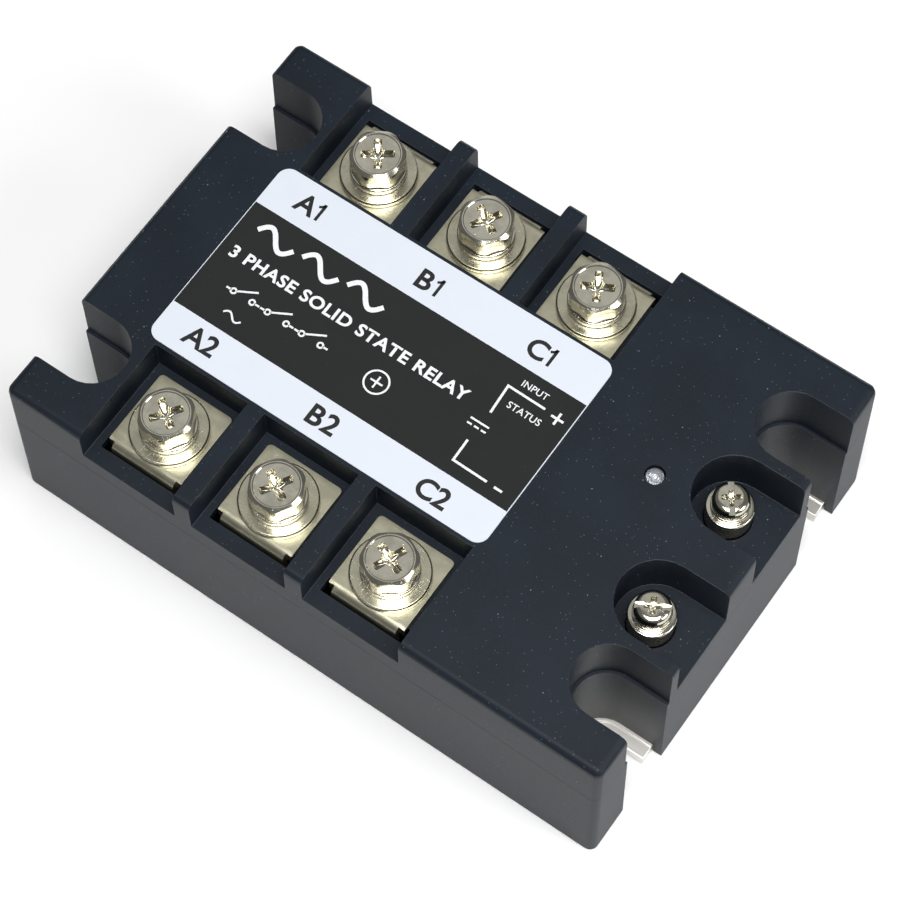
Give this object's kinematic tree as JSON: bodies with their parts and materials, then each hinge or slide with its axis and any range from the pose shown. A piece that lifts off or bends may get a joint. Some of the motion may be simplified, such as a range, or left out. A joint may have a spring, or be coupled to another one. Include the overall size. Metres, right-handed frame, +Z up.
{
  "type": "solid state relay",
  "caption": "Three-phase solid state relay in a panel-mount package with open terminal bays, captive screws, a metal base plate and a status light.",
  "frame": {"origin": "centre of the underside of the base plate, where the relay meets its heat sink", "axes": "+X along the length towards the control terminals, +Y across towards the terminals numbered 1, +Z up out of the heat sink"},
  "size_m": [0.105, 0.0734, 0.0325],
  "materials": {
    "black_plastic": "satin moulded, filled",
    "base_metal": "fine machined",
    "label_film": "printed polyester film",
    "clear_lens": "clear epoxy",
    "board_laminate": "solder mask",
    "potting_resin": "cast",
    "chip_epoxy": "moulded",
    "ceramic": "fired",
    "silicon": "polished",
    "nickel_plate": "satin nickel plated",
    "nickel_brass": "nickel plated",
    "nickel_steel": "bright nickel plated"
  },
  "bodies": {
    "housing": {"base_plate": "base_metal", "lower_housing": "black_plastic", "upper_cover": "black_plastic", "name_label": "label_film", "status_led": "clear_lens", "control_board": "board_laminate", "potting_resin": "potting_resin", "optocoupler_a": "chip_epoxy", "optocoupler_b": "chip_epoxy", "optocoupler_c": "chip_epoxy", "ceramic_substrate_a": "ceramic", "ceramic_substrate_b": "ceramic", "ceramic_substrate_c": "ceramic", "thyristor_a1": "silicon", "thyristor_b1": "silicon", "thyristor_c1": "silicon", "thyristor_a2": "silicon", "thyristor_b2": "silicon", "thyristor_c2": "silicon", "terminal_plate_a1": "nickel_plate", "terminal_plate_b1": "nickel_plate", "terminal_plate_c1": "nickel_plate", "terminal_plate_a2": "nickel_plate", "terminal_plate_b2": "nickel_plate", "terminal_plate_c2": "nickel_plate", "terminal_nut_a1": "nickel_steel", "terminal_nut_b1": "nickel_steel", "terminal_nut_c1": "nickel_steel", "terminal_nut_a2": "nickel_steel", "terminal_nut_b2": "nickel_steel", "terminal_nut_c2": "nickel_steel", "control_pillar_plus": "nickel_brass", "control_pillar_minus": "nickel_brass"},
    "washers_a1": {"flat_washer_a1": "nickel_steel", "spring_washer_a1": "nickel_steel"},
    "screw_a1": {"terminal_screw_a1": "nickel_steel"},
    "washers_b1": {"flat_washer_b1": "nickel_steel", "spring_washer_b1": "nickel_steel"},
    "screw_b1": {"terminal_screw_b1": "nickel_steel"},
    "washers_c1": {"flat_washer_c1": "nickel_steel", "spring_washer_c1": "nickel_steel"},
    "screw_c1": {"terminal_screw_c1": "nickel_steel"},
    "washers_a2": {"flat_washer_a2": "nickel_steel", "spring_washer_a2": "nickel_steel"},
    "screw_a2": {"terminal_screw_a2": "nickel_steel"},
    "washers_b2": {"flat_washer_b2": "nickel_steel", "spring_washer_b2": "nickel_steel"},
    "screw_b2": {"terminal_screw_b2": "nickel_steel"},
    "washers_c2": {"flat_washer_c2": "nickel_steel", "spring_washer_c2": "nickel_steel"},
    "screw_c2": {"terminal_screw_c2": "nickel_steel"},
    "washers_plus": {"control_flat_washer_plus": "nickel_steel", "control_spring_washer_plus": "nickel_steel"},
    "screw_plus": {"control_screw_plus": "nickel_steel"},
    "washers_minus": {"control_flat_washer_minus": "nickel_steel", "control_spring_washer_minus": "nickel_steel"},
    "screw_minus": {"control_screw_minus": "nickel_steel"}
  },
  "joints": [
    {"name": "screw_a1_lift", "type": "slide", "parent": "housing", "child": "washers_a1", "axis": [0, 0, 1], "range_m": [0, 0.0048]},
    {"name": "screw_a1_turn", "type": "hinge", "parent": "washers_a1", "child": "screw_a1", "pos_m": [-0.0298, 0.02625, 0.03], "axis": [0, 0, 1], "range_deg": [0, 2160]},
    {"name": "screw_b1_lift", "type": "slide", "parent": "housing", "child": "washers_b1", "axis": [0, 0, 1], "range_m": [0, 0.0048]},
    {"name": "screw_b1_turn", "type": "hinge", "parent": "washers_b1", "child": "screw_b1", "pos_m": [-0.01, 0.02625, 0.03], "axis": [0, 0, 1], "range_deg": [0, 2160]},
    {"name": "screw_c1_lift", "type": "slide", "parent": "housing", "child": "washers_c1", "axis": [0, 0, 1], "range_m": [0, 0.0048]},
    {"name": "screw_c1_turn", "type": "hinge", "parent": "washers_c1", "child": "screw_c1", "pos_m": [0.0098, 0.02625, 0.03], "axis": [0, 0, 1], "range_deg": [0, 2160]},
    {"name": "screw_a2_lift", "type": "slide", "parent": "housing", "child": "washers_a2", "axis": [0, 0, 1], "range_m": [0, 0.0048]},
    {"name": "screw_a2_turn", "type": "hinge", "parent": "washers_a2", "child": "screw_a2", "pos_m": [-0.0298, -0.02625, 0.03], "axis": [0, 0, 1], "range_deg": [0, 2160]},
    {"name": "screw_b2_lift", "type": "slide", "parent": "housing", "child": "washers_b2", "axis": [0, 0, 1], "range_m": [0, 0.0048]},
    {"name": "screw_b2_turn", "type": "hinge", "parent": "washers_b2", "child": "screw_b2", "pos_m": [-0.01, -0.02625, 0.03], "axis": [0, 0, 1], "range_deg": [0, 2160]},
    {"name": "screw_c2_lift", "type": "slide", "parent": "housing", "child": "washers_c2", "axis": [0, 0, 1], "range_m": [0, 0.0048]},
    {"name": "screw_c2_turn", "type": "hinge", "parent": "washers_c2", "child": "screw_c2", "pos_m": [0.0098, -0.02625, 0.03], "axis": [0, 0, 1], "range_deg": [0, 2160]},
    {"name": "screw_plus_lift", "type": "slide", "parent": "housing", "child": "washers_plus", "axis": [0, 0, 1], "range_m": [0, 0.0035]},
    {"name": "screw_plus_turn", "type": "hinge", "parent": "washers_plus", "child": "screw_plus", "pos_m": [0.0436, 0.01015, 0.03], "axis": [0, 0, 1], "range_deg": [0, 2520]},
    {"name": "screw_minus_lift", "type": "slide", "parent": "housing", "child": "washers_minus", "axis": [0, 0, 1], "range_m": [0, 0.0035]},
    {"name": "screw_minus_turn", "type": "hinge", "parent": "washers_minus", "child": "screw_minus", "pos_m": [0.0436, -0.01015, 0.03], "axis": [0, 0, 1], "range_deg": [0, 2520]}
  ],
  "couplings": [
    {"joint": "screw_a1_turn", "follows": "screw_a1_lift", "rad_per_m": 7853.8},
    {"joint": "screw_b1_turn", "follows": "screw_b1_lift", "rad_per_m": 7853.8},
    {"joint": "screw_c1_turn", "follows": "screw_c1_lift", "rad_per_m": 7853.8},
    {"joint": "screw_a2_turn", "follows": "screw_a2_lift", "rad_per_m": 7853.8},
    {"joint": "screw_b2_turn", "follows": "screw_b2_lift", "rad_per_m": 7853.8},
    {"joint": "screw_c2_turn", "follows": "screw_c2_lift", "rad_per_m": 7853.8},
    {"joint": "screw_plus_turn", "follows": "screw_plus_lift", "rad_per_m": 12566},
    {"joint": "screw_minus_turn", "follows": "screw_minus_lift", "rad_per_m": 12566}
  ]
}
